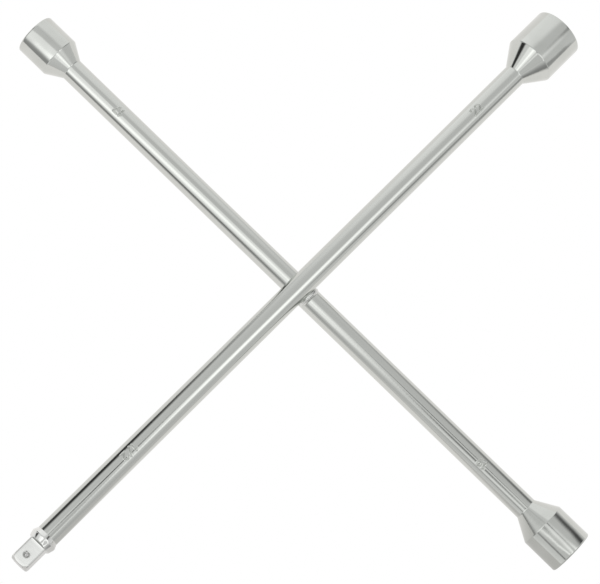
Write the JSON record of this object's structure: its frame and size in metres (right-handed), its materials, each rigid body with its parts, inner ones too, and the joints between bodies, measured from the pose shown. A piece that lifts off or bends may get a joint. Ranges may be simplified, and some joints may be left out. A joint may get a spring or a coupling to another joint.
{
  "type": "lug wrench",
  "caption": "Cross-shaped chromed wheel wrench: crossed round bars that end in hex sockets of different sizes and in a square drive with a sprung detent ball.",
  "frame": {"origin": "directly under the crossing of the bars, at the level of the lowest point of the largest socket on the rear bar", "axes": "+X along the front bar towards the large socket, -X towards the square drive; +Y along the rear bar towards the small socket, -Y towards the middle socket; +Z from the rear bar up to the front bar"},
  "size_m": [0.516, 0.496, 0.0445],
  "materials": {
    "polished_chrome": "polished chrome plating",
    "plated_weld": "chrome plating over a rippled weld bead",
    "ball_steel": "polished steel",
    "spring_wire": "plain spring steel"
  },
  "bodies": {
    "wrench": {"front_bar": "polished_chrome", "rear_bar": "polished_chrome", "socket_small": "polished_chrome", "socket_middle": "polished_chrome", "socket_large": "polished_chrome", "square_drive": "polished_chrome", "weld_upper": "plated_weld", "weld_lower": "plated_weld", "detent_spring": "spring_wire"},
    "ball": {"detent_ball": "ball_steel"}
  },
  "joints": [
    {"name": "detent_press", "type": "slide", "parent": "wrench", "child": "ball", "axis": [0, 0.0523, 0.9986], "range_m": [-0.001, 0], "stiffness_N_per_m": 6000, "springref_m": 0.002, "deforming": ["detent_spring"]}
  ]
}
